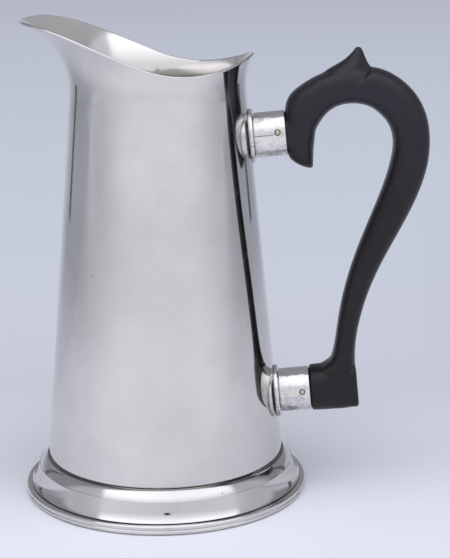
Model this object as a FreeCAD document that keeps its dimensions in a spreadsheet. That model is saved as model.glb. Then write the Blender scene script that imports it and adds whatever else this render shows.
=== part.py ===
import FreeCAD, Part
import math
import os
import Sketcher
from FreeCAD import Vector

# Pewter pitcher: a spun, tapering jug with a trumpet lip trimmed to a wave, on a moulded foot,
# with a carved black wood handle held in two pewter sockets.
# The body's axis is Z, the foot stands on Z = 0, the spout points along -X and the handle along +X.

# Driving sizes, in millimetres and degrees.
SIZES = {
    # Foot, from the outside inwards and from the ground up
    "foot_radius": 65.0,          # outside of the lower reed of the foot wire
    "reed_bend": 1.1,             # section radius of each of the two reeds
    "reed_setback": 0.65,         # how far the upper reed stands behind the lower one
    "wire_overhang": 2.7,         # how far the wire stands out past the cove
    "wire_lip": 0.9,              # how far the wire reaches in past the foot's wall
    "cove_width": 3.9,
    "cove_height": 8.6,
    "cove_bend": 9.6,
    "step_ledge": 0.4,            # between the cove and the ovolo above it
    "ovolo_width": 3.35,
    "ovolo_height": 4.6,
    "ovolo_bend": 5.0,
    "foot_wall": 1.8,
    "flange_width": 10.3,         # ring that carries the body and the floor
    "seat_depth": 1.0,            # how far the body is let into the foot
    "seam_gap": 0.35,             # groove left open round the body at the foot
    # Body
    "neck_radius": 38.9,          # smallest radius, where the lip starts to flare
    "neck_height": 182.7,
    "body_wall": 1.3,
    "flare_bend": 27.6,
    "flare_lean": 43.1,
    "lip_bend": 44.1,
    "lip_lean": 65.5,
    "floor_thickness": 1.6,
    "floor_crown": 2.5,           # how far the floor domes up in the middle
    # Wave of the rim, seen from the side
    "dip_offset": 16.2,
    "dip_rise": 10.3,             # lowest place of the rim, above the neck
    "dip_bend": 53.1,
    "dip_end_angle": 45.0,
    "rise_angle": 22.5,
    "crest_start": 31.4,
    "crest_bend": 99.8,
    # Handle sockets
    "upper_drop": 19.8,           # from the neck down to the upper socket's axis
    "upper_pin_rise": 1.7,
    "lower_rise": 27.4,           # from the foot up to the lower socket's axis
    "lower_pin_rise": 1.1,
    "saddle_reach": 0.6,          # how far the saddle's face stands off the body
    "saddle_width": 36.0,
    "saddle_height": 20.8,
    "collar_radius": 11.2,        # edge where the flare ends
    "groove_radius": 10.3,
    "groove_width": 0.8,
    "bead_radius": 12.0,
    "bead_width": 2.0,
    "spigot_length": 2.0,
    "sleeve_radius": 10.0,
    "sleeve_wall": 1.2,
    "sleeve_length": 13.0,
    "pin_radius": 1.3,
    "pin_dome": 0.35,             # how far a pin's head stands out of the sleeve
    "pin_setback": 3.5,           # from the sleeve's open end
    # Handle
    "grip_reach": 62.0,           # from the upper sleeve's end to the outside of the bow
    "grip_depth": 18.0,           # thickest place, in the plane of the bow
    "grip_thickness": 19.0,       # thickest place, across the bow
    "spur_rise": 17.0,            # height of the thumb spur above the middle of the bow
    "spur_length": 21.0,
    "spur_thickness": 15.0,
    "heel_lap": 0.6,              # how far the heel stands proud of the lower sleeve
    "heel_length": 21.3,
    # Clearances
    "solder_gap": 0.15,
    "tenon_gap": 0.15,
    "tenon_room": 1.25,           # left between a tenon's end and the spigot
    "shoulder_gap": 0.25,
    "pin_gap": 0.1,
    "overrun": 5.0,
}

# Places worked out from the driving sizes.
PLACES = {
    "cove_foot_radius": "Sizes.foot_radius - Sizes.wire_overhang",
    "ledge_radius": "Places.cove_foot_radius - Sizes.cove_width",
    "step_radius": "Places.ledge_radius - Sizes.step_ledge",
    "seat_radius": "Places.step_radius - Sizes.ovolo_width",
    "base_radius": "Places.seat_radius - Sizes.seam_gap",
    "flange_inner_radius": "Places.base_radius - Sizes.flange_width",
    "wire_inner_radius": "Places.cove_foot_radius - Sizes.foot_wall - Sizes.wire_lip",
    "lower_reed_root": "Sizes.foot_radius - Sizes.reed_bend",
    "upper_reed_root": "Places.lower_reed_root - Sizes.reed_setback",
    "wire_height": "4 * Sizes.reed_bend",
    "step_height": "Places.wire_height + Sizes.cove_height",
    "foot_height": "Places.step_height + Sizes.ovolo_height",
    "seat_height": "Places.foot_height - Sizes.seat_depth",
    # Slope of the body's side: radius lost for each millimetre of height.
    "taper": "(Places.base_radius - Sizes.neck_radius) / (Sizes.neck_height - Places.seat_height)",
    "side_lean": "-atan(Places.taper) / 1 deg",
    # The floor's edge clears the wall, which leans in over it.
    "base_bore": "Places.base_radius - Sizes.body_wall / cos(Places.side_lean)",
    "floor_radius": "Places.base_bore - Places.taper * Sizes.floor_thickness - Sizes.solder_gap",
    # The lip's outside runs through three leans from upright: side, flare and lip.
    "flare_r": "Sizes.neck_radius + Sizes.flare_bend * (cos(Places.side_lean) - cos(Sizes.flare_lean))",
    "flare_z": "Sizes.neck_height + Sizes.flare_bend * (sin(Sizes.flare_lean) - sin(Places.side_lean))",
    "lip_r": "Places.flare_r + Sizes.lip_bend * (cos(Sizes.flare_lean) - cos(Sizes.lip_lean))",
    "lip_z": "Places.flare_z + Sizes.lip_bend * (sin(Sizes.lip_lean) - sin(Sizes.flare_lean))",
    # Rim wave: a dip, a straight rise towards the spout and a crest over it.
    "dip_height": "Sizes.neck_height + Sizes.dip_rise",
    "dip_left": "Sizes.dip_offset - Sizes.dip_bend * sin(Sizes.rise_angle)",
    "dip_left_z": "Places.dip_height + Sizes.dip_bend * (1 - cos(Sizes.rise_angle))",
    "dip_right": "Sizes.dip_offset + Sizes.dip_bend * sin(Sizes.dip_end_angle)",
    "dip_right_z": "Places.dip_height + Sizes.dip_bend * (1 - cos(Sizes.dip_end_angle))",
    "crest_start_z": "Places.dip_left_z + (Places.dip_left + Sizes.crest_start) * tan(Sizes.rise_angle)",
    "crest_top": "-Sizes.crest_start - Sizes.crest_bend * sin(Sizes.rise_angle)",
    "crest_top_z": "Places.crest_start_z + Sizes.crest_bend * (1 - cos(Sizes.rise_angle))",
    # Stations along a socket's axis, counted from the body's surface.
    "collar_end": "Sizes.saddle_reach - Sizes.groove_width",
    "bead_end": "Sizes.saddle_reach + Sizes.bead_width",
    "sleeve_end": "Places.bead_end + Sizes.sleeve_length",
    "sleeve_bore": "Sizes.sleeve_radius - Sizes.sleeve_wall",
    "tenon_start": "Places.bead_end + Sizes.spigot_length + Sizes.tenon_room",
    "pin_place": "Places.sleeve_end - Sizes.pin_setback",
    "pin_half": "Sizes.sleeve_radius + Sizes.pin_dome",
    # Where each socket's axis leaves the body, square to its side.
    "socket_tilt": "-Places.side_lean",
    "upper_height": "Sizes.neck_height - Sizes.upper_drop",
    "lower_height": "Places.foot_height + Sizes.lower_rise",
    "upper_radius": "Places.base_radius - Places.taper * (Places.upper_height - Places.seat_height)",
    "lower_radius": "Places.base_radius - Places.taper * (Places.lower_height - Places.seat_height)",
    # How far the tips of a saddle are drawn back round the body.
    "upper_draw": "Places.upper_radius - sqrt((Places.upper_radius) ^ 2 - (Sizes.saddle_width) ^ 2 / 4)",
    "lower_draw": "Places.lower_radius - sqrt((Places.lower_radius) ^ 2 - (Sizes.saddle_width) ^ 2 / 4)",
}

# Handle sections from the tip of the beak, over the bow and down to the heel: place along the line from
# the lower socket to the upper one, place outwards, depth, thickness, and the way the bow runs there in
# degrees from +X. Places, depths and thicknesses are shares of that line, of the reach, of the grip's
# depth and of its thickness.
BOW_SHARES = [
    (0.866, 0.155, 0.10, 0.12, 100.0),
    (0.894, 0.107, 0.48, 0.56, 96.0),
    (0.935, 0.084, 0.70, 0.84, 92.0),
    (0.991, 0.096, 0.75, 1.00, 84.0),
    (1.067, 0.124, 0.97, 1.02, 52.0),
    (1.123, 0.216, 0.94, 1.00, 44.0),
    (1.159, 0.337, 0.89, 0.98, 29.0),
    (1.176, 0.489, 0.89, 0.96, 4.0),
    (1.167, 0.652, 0.95, 0.98, -16.0),
    (1.129, 0.769, 0.99, 1.00, -29.0),
    (1.077, 0.846, 0.99, 1.00, -44.0),
    (1.012, 0.882, 0.95, 1.00, -65.0),
    (0.937, 0.878, 0.91, 0.98, -91.0),
    (0.851, 0.834, 0.91, 0.94, -104.0),
    (0.733, 0.733, 0.86, 0.88, -112.5),
    (0.582, 0.575, 0.75, 0.82, -115.0),
    (0.424, 0.427, 0.63, 0.76, -109.0),
    (0.265, 0.324, 0.54, 0.74, -99.0),
    (0.142, 0.270, 0.58, 0.80, -90.0),
    (0.111, 0.250, 0.68, 0.88, -90.0),
    (0.080, 0.203, 0.98, 0.94, -90.0),
    (0.040, 0.203, 0.98, 0.80, -90.0),
]
BOW_ROUND_SHARE = 0.83

# Thumb spur sections: place up the spur, place outwards from the top of the bow, length and thickness,
# as shares of the spur's rise, length, length again and thickness.
SPUR_SHARES = [
    (0.18, -0.07, 1.14, 1.00),
    (0.44, -0.01, 0.86, 0.80),
    (0.59, 0.06, 0.57, 0.60),
    (0.76, 0.12, 0.33, 0.38),
    (0.98, 0.15, 0.10, 0.12),
]
SPUR_ROUND_SHARE = 1.0

# Heel sections from the lower sleeve outwards: place along the heel, height and thickness as shares of
# the heel's length and of its round end, and how round the section is.
HEEL_SHARES = [
    (0.00, 1.00, 1.00, 1.00),
    (0.25, 0.99, 0.98, 0.83),
    (0.50, 0.97, 0.94, 0.67),
    (0.75, 0.95, 0.90, 0.56),
    (0.93, 0.93, 0.87, 0.50),
    (0.98, 0.91, 0.85, 0.50),
    (1.00, 0.85, 0.79, 0.50),
]
OVAL_POINTS = 16

LEFT, RIGHT = 1, -1
SOCKETS = ("upper", "lower")

doc = FreeCAD.newDocument("pewter_pitcher")


def add_sheet(name, cells, sign=""):
    sheet = doc.addObject("Spreadsheet::Sheet", name)
    for row, (alias, content) in enumerate(cells.items(), start=1):
        sheet.set(f"A{row}", alias)
        sheet.set(f"B{row}", f"{sign}{content}")
        sheet.setAlias(f"B{row}", alias)
    doc.recompute()
    return sheet


sizes_sheet = add_sheet("Sizes", SIZES)
places_sheet = add_sheet("Places", PLACES, sign="=")


def value(expression):
    """Number that an expression over the two sheets gives."""
    return float(places_sheet.evalExpression(expression))


def new_body(label):
    body = doc.addObject("PartDesign::Body", label)
    body.Label = label
    return body


def new_sketch(body, role, name):
    plane = next(feature for feature in body.Origin.OriginFeatures if feature.Role == role)
    sketch = body.newObject("Sketcher::SketchObject", name)
    sketch.AttachmentSupport = [(plane, "")]
    sketch.MapMode = "FlatFace"
    return sketch


def arc_between(start, end, radius, turn):
    """Arc under a half circle from start to end, turning LEFT or RIGHT."""
    chord = end - start
    offset = math.sqrt(radius ** 2 - (chord.Length / 2) ** 2)
    across = Vector(-chord.y, chord.x, 0).normalize() * (offset * turn)
    centre = (start + end) / 2 + across
    first, last = (start, end) if turn == LEFT else (end, start)
    angles = [math.atan2(point.y - centre.y, point.x - centre.x) for point in (first, last)]
    return Part.ArcOfCircle(Part.Circle(centre, Vector(0, 0, 1), radius), *angles)


def fix(sketch, kind, axis, side, end, expression):
    """Ties one coordinate of a side's end to an expression, or to the axis where that is zero."""
    if expression == "0":
        sketch.addConstraint(Sketcher.Constraint("PointOnObject", side, end, axis))
        return
    index = sketch.addConstraint(Sketcher.Constraint(kind, -1, 1, side, end, value(expression)))
    sketch.setExpression(f"Constraints[{index}]", expression)


def outline(body, role, corners, name):
    """Closed sketch through corners given as pairs of expressions. A corner where a round side starts has
    that arc's radius and turn after its pair, and the other sides are straight."""
    sketch = new_sketch(body, role, name)
    points = [Vector(value(across), value(up), 0) for across, up, *arc in corners]
    ends = []
    for side, (across, up, *arc) in enumerate(corners):
        start, end = points[side], points[(side + 1) % len(points)]
        if arc:
            radius, turn = arc
            sketch.addGeometry(arc_between(start, end, value(radius), turn))
            ends.append((1, 2) if turn == LEFT else (2, 1))
        else:
            sketch.addGeometry(Part.LineSegment(start, end))
            ends.append((1, 2))
    for side, (across, up, *arc) in enumerate(corners):
        begin, finish = ends[side]
        following = (side + 1) % len(ends)
        sketch.addConstraint(Sketcher.Constraint("Coincident", side, finish, following, ends[following][0]))
        fix(sketch, "DistanceX", -2, side, begin, across)
        fix(sketch, "DistanceY", -1, side, begin, up)
    for side, (across, up, *arc) in enumerate(corners):
        if arc:
            radius, turn = arc
            index = sketch.addConstraint(Sketcher.Constraint("Radius", side, value(radius)))
            sketch.setExpression(f"Constraints[{index}]", radius)
    return sketch


def revolve(body, sketch, axis):
    turned = body.newObject("PartDesign::Revolution", "turned")
    turned.Profile = sketch
    turned.ReferenceAxis = (sketch, [axis])
    turned.Angle = 360
    return turned


def foot_wire():
    """Two-reeded wire round the bottom of the foot, flat underneath."""
    body = new_body("foot_wire")
    reed = ("Sizes.reed_bend", LEFT)
    corners = [
        ("Places.wire_inner_radius", "0"),
        ("Places.lower_reed_root", "0", *reed),
        ("Sizes.foot_radius", "Sizes.reed_bend", *reed),
        ("Places.lower_reed_root", "2 * Sizes.reed_bend"),
        ("Places.upper_reed_root", "2 * Sizes.reed_bend", *reed),
        ("Places.upper_reed_root + Sizes.reed_bend", "3 * Sizes.reed_bend", *reed),
        ("Places.upper_reed_root", "Places.wire_height"),
        ("Places.wire_inner_radius", "Places.wire_height"),
    ]
    revolve(body, outline(body, "XZ_Plane", corners, "section"), "V_Axis")
    return body


def foot_ring():
    """Spun foot: cove, ledge and ovolo outside, and a flange that carries body and floor."""
    body = new_body("foot_ring")
    corners = [
        ("Places.cove_foot_radius - Sizes.foot_wall", "Places.wire_height"),
        ("Places.cove_foot_radius", "Places.wire_height", "Sizes.cove_bend", RIGHT),
        ("Places.ledge_radius", "Places.step_height"),
        ("Places.step_radius", "Places.step_height", "Sizes.ovolo_bend", LEFT),
        ("Places.seat_radius", "Places.foot_height"),
        ("Places.seat_radius", "Places.seat_height"),
        ("Places.flange_inner_radius", "Places.seat_height"),
        ("Places.flange_inner_radius", "Places.seat_height - Sizes.foot_wall"),
        ("Places.seat_radius - Sizes.foot_wall", "Places.seat_height - Sizes.foot_wall"),
        ("Places.step_radius - Sizes.foot_wall", "Places.step_height - Sizes.foot_wall"),
    ]
    revolve(body, outline(body, "XZ_Plane", corners, "section"), "V_Axis")
    return body


def body_floor():
    """Domed disc soldered into the bottom of the body."""
    body = new_body("body_floor")
    rise = "(Sizes.floor_crown)"
    half_span = "(Places.flange_inner_radius)"
    bend = f"({half_span} ^ 2 + {rise} ^ 2) / (2 * {rise})"
    corners = [
        ("0", f"Places.seat_height + {rise}", bend, RIGHT),
        (half_span, "Places.seat_height"),
        ("Places.floor_radius", "Places.seat_height"),
        ("Places.floor_radius", "Places.seat_height + Sizes.floor_thickness"),
        (half_span, "Places.seat_height + Sizes.floor_thickness", bend, LEFT),
        ("0", f"Places.seat_height + Sizes.floor_thickness + {rise}"),
    ]
    revolve(body, outline(body, "XZ_Plane", corners, "section"), "V_Axis")
    return body


def wall_point(radius, height, lean):
    """Point on the inside of the wall behind a point of the outside, where the wall leans by lean."""
    return (f"{radius} - Sizes.body_wall * cos({lean})", f"{height} + Sizes.body_wall * sin({lean})")


def body_shell():
    """Tapering side and trumpet lip, spun in one sheet, with the rim trimmed to a wave."""
    body = new_body("body_shell")
    inner_neck = wall_point("Sizes.neck_radius", "Sizes.neck_height", "Places.side_lean")
    inner_flare = wall_point("Places.flare_r", "Places.flare_z", "Sizes.flare_lean")
    inner_lip = wall_point("Places.lip_r", "Places.lip_z", "Sizes.lip_lean")
    corners = [
        ("Places.base_radius", "Places.seat_height"),
        ("Sizes.neck_radius", "Sizes.neck_height", "Sizes.flare_bend", RIGHT),
        ("Places.flare_r", "Places.flare_z", "Sizes.lip_bend", RIGHT),
        ("Places.lip_r", "Places.lip_z"),
        (*inner_lip, "Sizes.lip_bend + Sizes.body_wall", LEFT),
        (*inner_flare, "Sizes.flare_bend + Sizes.body_wall", LEFT),
        inner_neck,
        ("Places.base_bore", "Places.seat_height"),
    ]
    revolve(body, outline(body, "XZ_Plane", corners, "section"), "V_Axis")
    doc.recompute()
    spun_volume = body.Shape.Volume

    right = "Places.dip_right + Places.lip_r"
    left = "Places.crest_top - Places.lip_r"
    above = "Places.crest_top_z + Places.lip_r"
    corners = [
        (right, "Places.dip_right_z"),
        (right, above),
        (left, above),
        (left, "Places.crest_top_z"),
        ("Places.crest_top", "Places.crest_top_z", "Sizes.crest_bend", RIGHT),
        ("-Sizes.crest_start", "Places.crest_start_z"),
        ("Places.dip_left", "Places.dip_left_z", "Sizes.dip_bend", LEFT),
        ("Places.dip_right", "Places.dip_right_z"),
    ]
    trim = body.newObject("PartDesign::Pocket", "rim_trim")
    trim.Profile = outline(body, "XZ_Plane", corners, "wave")
    trim.Midplane = True
    trim.setExpression("Length", "2 * (Places.lip_r + Sizes.overrun)")
    doc.recompute()
    if body.Shape.Volume >= spun_volume:
        raise RuntimeError("the rim was not trimmed")
    return body


def set_on_socket(piece, socket):
    """Puts a piece drawn along +X from the body's surface on the upper or lower socket's axis."""
    upwards = FreeCAD.Rotation(Vector(0, -1, 0), value("Places.socket_tilt"))
    piece.Placement = FreeCAD.Placement(Vector(), upwards)
    piece.setExpression("Placement.Rotation.Angle", "Places.socket_tilt * 1 deg")
    piece.setExpression("Placement.Base.x", f"Places.{socket}_radius")
    piece.setExpression("Placement.Base.z", f"Places.{socket}_height")


def disc_sketch(body, station, radius, name):
    """Circle round a socket's axis at a station along it."""
    sketch = new_sketch(body, "YZ_Plane", name)
    sketch.setExpression("AttachmentOffset.Base.z", station)
    sketch.addGeometry(Part.Circle(Vector(), Vector(0, 0, 1), value(radius)))
    sketch.addConstraint(Sketcher.Constraint("Coincident", 0, 3, -1, 1))
    index = sketch.addConstraint(Sketcher.Constraint("Radius", 0, value(radius)))
    sketch.setExpression(f"Constraints[{index}]", radius)
    return sketch


def oval_sketch(body, station, width, height, name):
    """Ellipse round a socket's axis at a station along it, wide across the body."""
    sketch = new_sketch(body, "YZ_Plane", name)
    sketch.setExpression("AttachmentOffset.Base.z", station)
    sketch.addGeometry(Part.Ellipse(Vector(), value(f"{width} / 2"), value(f"{height} / 2")))
    sketch.exposeInternalGeometry(0)
    sketch.addConstraint(Sketcher.Constraint("Coincident", 0, 3, -1, 1))
    sketch.addConstraint(Sketcher.Constraint("Horizontal", 1))
    for line, size in ((1, width), (2, height)):
        index = sketch.addConstraint(Sketcher.Constraint("Distance", line, 1, line, 2, value(size)))
        sketch.setExpression(f"Constraints[{index}]", size)
    return sketch


def saddle(socket):
    """Flared foot of a socket with a groove round its neck, coped to the body's taper."""
    blank = new_body(f"{socket}_saddle_blank")
    draw = f"-Places.{socket}_draw"
    flare = oval_sketch(blank, draw, "Sizes.saddle_width", "Sizes.saddle_height", "flare")
    edge = disc_sketch(blank, "Places.collar_end", "Sizes.collar_radius", "edge")
    doc.recompute()
    loft = blank.newObject("PartDesign::AdditiveLoft", "drawn_out")
    loft.Profile = flare
    loft.Sections = [edge]
    neck = blank.newObject("PartDesign::Pad", "neck")
    neck.Profile = disc_sketch(blank, "Places.collar_end", "Sizes.groove_radius", "groove")
    neck.setExpression("Length", "Sizes.groove_width")
    set_on_socket(blank, socket)

    side = doc.addObject("Part::Cone", f"{socket}_side")
    side.setExpression("Radius1", "Places.base_radius + Sizes.solder_gap")
    side.setExpression("Radius2", "Sizes.neck_radius + Sizes.solder_gap")
    side.setExpression("Height", "Sizes.neck_height - Places.seat_height")
    side.setExpression("Placement.Base.z", "Places.seat_height")
    coped = doc.addObject("Part::Cut", f"{socket}_saddle")
    coped.Label = f"{socket}_saddle"
    coped.Base = blank
    coped.Tool = side
    return coped


def bead(socket):
    """Turned bead with a spigot that centres the sleeve."""
    body = new_body(f"{socket}_bead")
    bend = "Sizes.bead_width / 2"
    shoulder = f"Sizes.bead_radius - {bend}"
    spigot_end = "Places.bead_end + Sizes.spigot_length"
    spigot = "Places.sleeve_bore - Sizes.solder_gap"
    corners = [
        ("Sizes.saddle_reach", "0"),
        (spigot_end, "0"),
        (spigot_end, spigot),
        ("Places.bead_end", spigot),
        ("Places.bead_end", shoulder, bend, LEFT),
        (f"Sizes.saddle_reach + {bend}", "Sizes.bead_radius", bend, LEFT),
        ("Sizes.saddle_reach", shoulder),
    ]
    revolve(body, outline(body, "XZ_Plane", corners, "section"), "H_Axis")
    set_on_socket(body, socket)
    return body


def sleeve(socket):
    """Tube that takes the handle's tenon, drilled across for the pin."""
    body = new_body(f"{socket}_sleeve")
    corners = [
        ("Places.bead_end", "Places.sleeve_bore"),
        ("Places.sleeve_end", "Places.sleeve_bore"),
        ("Places.sleeve_end", "Sizes.sleeve_radius"),
        ("Places.bead_end", "Sizes.sleeve_radius"),
    ]
    revolve(body, outline(body, "XZ_Plane", corners, "section"), "H_Axis")
    hole = new_sketch(body, "XZ_Plane", "pin_hole")
    centre = Vector(value("Places.pin_place"), value(f"Sizes.{socket}_pin_rise"), 0)
    hole_radius = "Sizes.pin_radius + Sizes.pin_gap"
    hole.addGeometry(Part.Circle(centre, Vector(0, 0, 1), value(hole_radius)))
    fix(hole, "DistanceX", -2, 0, 3, "Places.pin_place")
    fix(hole, "DistanceY", -1, 0, 3, f"Sizes.{socket}_pin_rise")
    index = hole.addConstraint(Sketcher.Constraint("Radius", 0, value(hole_radius)))
    hole.setExpression(f"Constraints[{index}]", hole_radius)
    doc.recompute()
    tube_volume = body.Shape.Volume
    drilled = body.newObject("PartDesign::Pocket", "drilled")
    drilled.Profile = hole
    drilled.Midplane = True
    drilled.setExpression("Length", "2 * (Sizes.sleeve_radius + Sizes.overrun)")
    set_on_socket(body, socket)
    doc.recompute()
    if body.Shape.Volume >= tube_volume:
        raise RuntimeError("the sleeve was not drilled")
    return body


def pin(socket):
    """Dome-headed pin across a sleeve and the tenon inside it."""
    body = new_body(f"{socket}_pin")
    bend = "((Sizes.pin_radius) ^ 2 + (Sizes.pin_dome) ^ 2) / (2 * Sizes.pin_dome)"
    edge = "Places.pin_half - Sizes.pin_dome"
    corners = [
        ("0", "-Places.pin_half", bend, LEFT),
        ("Sizes.pin_radius", f"-({edge})"),
        ("Sizes.pin_radius", edge, bend, LEFT),
        ("0", "Places.pin_half"),
    ]
    revolve(body, outline(body, "XZ_Plane", corners, "section"), "V_Axis")
    body.Placement = FreeCAD.Placement(Vector(), FreeCAD.Rotation(Vector(1, 0, 0), 90))
    tilt, rise = "Places.socket_tilt", f"Sizes.{socket}_pin_rise"
    out = f"Places.{socket}_radius + Places.pin_place * cos({tilt}) - {rise} * sin({tilt})"
    up = f"Places.{socket}_height + Places.pin_place * sin({tilt}) + {rise} * cos({tilt})"
    body.setExpression("Placement.Base.x", out)
    body.setExpression("Placement.Base.z", up)
    return body


def oval(middle, lean, depth, thickness, round_share):
    """Points round a section across a path that runs at lean degrees from +X in the plane of the bow. With
    a round share of 1 it is an ellipse, and with less it is squarer."""
    turn = math.radians(lean)
    outwards = Vector(-math.sin(turn), 0, math.cos(turn)) * (depth / 2)
    sideways = Vector(0, thickness / 2, 0)
    points = []
    for step in range(OVAL_POINTS):
        angle = 2 * math.pi * step / OVAL_POINTS
        shares = math.cos(angle), math.sin(angle)
        full_out, full_side = [math.copysign(abs(share) ** round_share, share) for share in shares]
        points.append(middle + outwards * full_out + sideways * full_side)
    return points


def skin(sections):
    """Solid with a smooth side through sections of points and a flat face at each end."""
    around = [step / OVAL_POINTS for step in range(OVAL_POINTS + 1)]
    rings = [Part.BSplineCurve() for points in sections]
    for ring, points in zip(rings, sections):
        ring.interpolate(Points=points, PeriodicFlag=True, Parameters=around)
    middles = [sum(points, Vector()) / OVAL_POINTS for points in sections]
    along = [0.0]
    for middle, following in zip(middles, middles[1:]):
        along.append(along[-1] + (following - middle).Length)
    strands = [Part.BSplineCurve() for pole in rings[0].getPoles()]
    for strand, poles in zip(strands, zip(*[ring.getPoles() for ring in rings])):
        strand.interpolate(Points=list(poles), Parameters=along)
    surface = Part.BSplineSurface()
    surface.buildFromPolesMultsKnots(
        [strand.getPoles() for strand in strands],
        rings[0].getMultiplicities(), strands[0].getMultiplicities(),
        rings[0].getKnots(), strands[0].getKnots(),
        True, False, rings[0].Degree, strands[0].Degree,
    )
    side = surface.toShape()
    ends = [Part.Face(Part.Wire([edge])) for edge in side.Edges if edge.isClosed()]
    shell = Part.makeShell([side] + ends)
    shell.sewShape()
    return Part.makeSolid(shell)


def socket_frame(socket):
    place = Vector(value(f"Places.{socket}_radius"), 0, value(f"Places.{socket}_height"))
    return FreeCAD.Placement(place, FreeCAD.Rotation(Vector(0, -1, 0), value("Places.socket_tilt")))


def bow_middles(lower_end, upper_end):
    reach = value("Sizes.grip_reach")
    return [
        lower_end + (upper_end - lower_end) * along + Vector(reach * out, 0, 0)
        for along, out, depth, thickness, lean in BOW_SHARES
    ]


def bow_solid(middles):
    """Beak, bow and stem of the handle in one swept piece."""
    depth_size, thickness_size = value("Sizes.grip_depth"), value("Sizes.grip_thickness")
    sections = [
        oval(middle, lean, depth * depth_size, thickness * thickness_size, BOW_ROUND_SHARE)
        for middle, (along, out, depth, thickness, lean) in zip(middles, BOW_SHARES)
    ]
    return skin(sections)


def spur_solid(top):
    """Thumb spur, swept up out of the top of the bow to a point."""
    rise, length, thickness = [value(f"Sizes.spur_{name}") for name in ("rise", "length", "thickness")]
    sections = [
        oval(top + Vector(out * length, 0, up * rise), -90, deep * length, wide * thickness, SPUR_ROUND_SHARE)
        for up, out, deep, wide in SPUR_SHARES
    ]
    return skin(sections)


def heel_solid(frame, start):
    """Foot of the handle, round where it butts on the lower sleeve and squarer towards its end."""
    length, across = value("Sizes.heel_length"), 2 * value("Sizes.sleeve_radius + Sizes.heel_lap")
    sections = [
        oval(Vector(start + along * length, 0, 0), 0, high * across, thick * across, round_share)
        for along, high, thick, round_share in HEEL_SHARES
    ]
    solid = skin(sections)
    solid.Placement = frame
    return solid


def in_socket(frame, shape):
    shape.Placement = frame.multiply(shape.Placement)
    return shape


def handle():
    """Carved handle with a tenon for each socket."""
    along_x = Vector(1, 0, 0)
    across_y = Vector(0, 1, 0)
    reach = value("Sizes.grip_reach")
    bead_radius = value("Sizes.bead_radius")
    shoulder = value("Places.sleeve_end + Sizes.shoulder_gap")
    tenon_start = Vector(value("Places.tenon_start"), 0, 0)
    tenon_length = value("Sizes.overrun") + shoulder - tenon_start.x
    tenon_radius = value("Places.sleeve_bore - Sizes.tenon_gap")
    hole_radius = value("Sizes.pin_radius + Sizes.pin_gap")
    frames = {socket: socket_frame(socket) for socket in SOCKETS}
    sleeve_end = Vector(value("Places.sleeve_end"), 0, 0)
    middles = bow_middles(frames["lower"].multVec(sleeve_end), frames["upper"].multVec(sleeve_end))
    top = max(middles, key=lambda middle: middle.z)

    shape = bow_solid(middles).fuse([spur_solid(top), heel_solid(frames["lower"], shoulder)])
    corner = Vector(shoulder - reach, -reach, -2 * bead_radius)
    for socket, frame in frames.items():
        clear = Part.makeBox(reach, 2 * reach, 4 * bead_radius, corner)
        tenon = Part.makeCylinder(tenon_radius, tenon_length, tenon_start, along_x)
        hole_start = Vector(value("Places.pin_place"), -reach, value(f"Sizes.{socket}_pin_rise"))
        hole = Part.makeCylinder(hole_radius, 2 * reach, hole_start, across_y)
        shape = shape.cut(in_socket(frame, clear))
        shape = shape.fuse(in_socket(frame, tenon))
        shape = shape.cut(in_socket(frame, hole))
    piece = doc.addObject("Part::Feature", "handle")
    piece.Label = "handle"
    piece.Shape = shape
    return piece


def check(pieces):
    """Stops the run if any object failed or any piece isn't one sound solid."""
    for item in doc.Objects:
        if "Invalid" in item.State or "Error" in item.State:
            raise RuntimeError(f"{item.Label} failed: {item.State}")
    for piece in pieces:
        if piece.Shape.isNull() or not piece.Shape.isValid() or len(piece.Shape.Solids) != 1:
            raise RuntimeError(f"{piece.Label} is not one sound solid")


pieces = [foot_wire(), foot_ring(), body_floor(), body_shell()]
for socket_name in SOCKETS:
    pieces += [make(socket_name) for make in (saddle, bead, sleeve, pin)]
pieces.append(handle())
doc.recompute()
check(pieces)
os.makedirs("parts", exist_ok=True)
for piece in pieces:
    piece.Shape.exportStep(f"parts/{piece.Label}.step")
    print(f"{piece.Label}: {piece.Shape.Volume:.0f} mm3")
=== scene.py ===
import math
import bmesh
import bpy
import numpy as np
from mathutils import Matrix


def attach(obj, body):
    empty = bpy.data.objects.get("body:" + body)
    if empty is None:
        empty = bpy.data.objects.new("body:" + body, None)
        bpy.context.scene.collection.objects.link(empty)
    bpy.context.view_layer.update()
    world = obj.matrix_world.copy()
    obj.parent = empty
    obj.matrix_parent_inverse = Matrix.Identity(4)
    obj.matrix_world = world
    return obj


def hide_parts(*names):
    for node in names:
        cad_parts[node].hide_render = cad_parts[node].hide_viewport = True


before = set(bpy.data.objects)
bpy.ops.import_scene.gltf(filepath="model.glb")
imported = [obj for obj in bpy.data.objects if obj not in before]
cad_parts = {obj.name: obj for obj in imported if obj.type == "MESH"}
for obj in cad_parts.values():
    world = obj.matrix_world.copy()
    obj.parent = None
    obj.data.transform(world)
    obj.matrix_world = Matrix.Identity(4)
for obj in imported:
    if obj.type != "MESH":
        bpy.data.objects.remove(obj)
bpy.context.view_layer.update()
print("frame loaded:", len(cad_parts), "nodes")

# Shapes are worked out in millimetres and turned to metres when a mesh is made.
# The jug's axis is Z, the spout points along -X and the handle along +X.
metre = 1000  # millimetres
weldWithin = 1e-7  # metres, for points that meet
left, right = 1, -1  # which way an arc bends as its profile is followed


def linear(hexColour):
    parts = [int(hexColour[i:i + 2], 16) / 255 for i in (1, 3, 5)]
    return (*[p / 12.92 if p <= 0.04045 else ((p + 0.055) / 1.055) ** 2.4 for p in parts], 1.0)


def perMetre(size):  # texture scale for features this many millimetres across
    return metre / size


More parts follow.
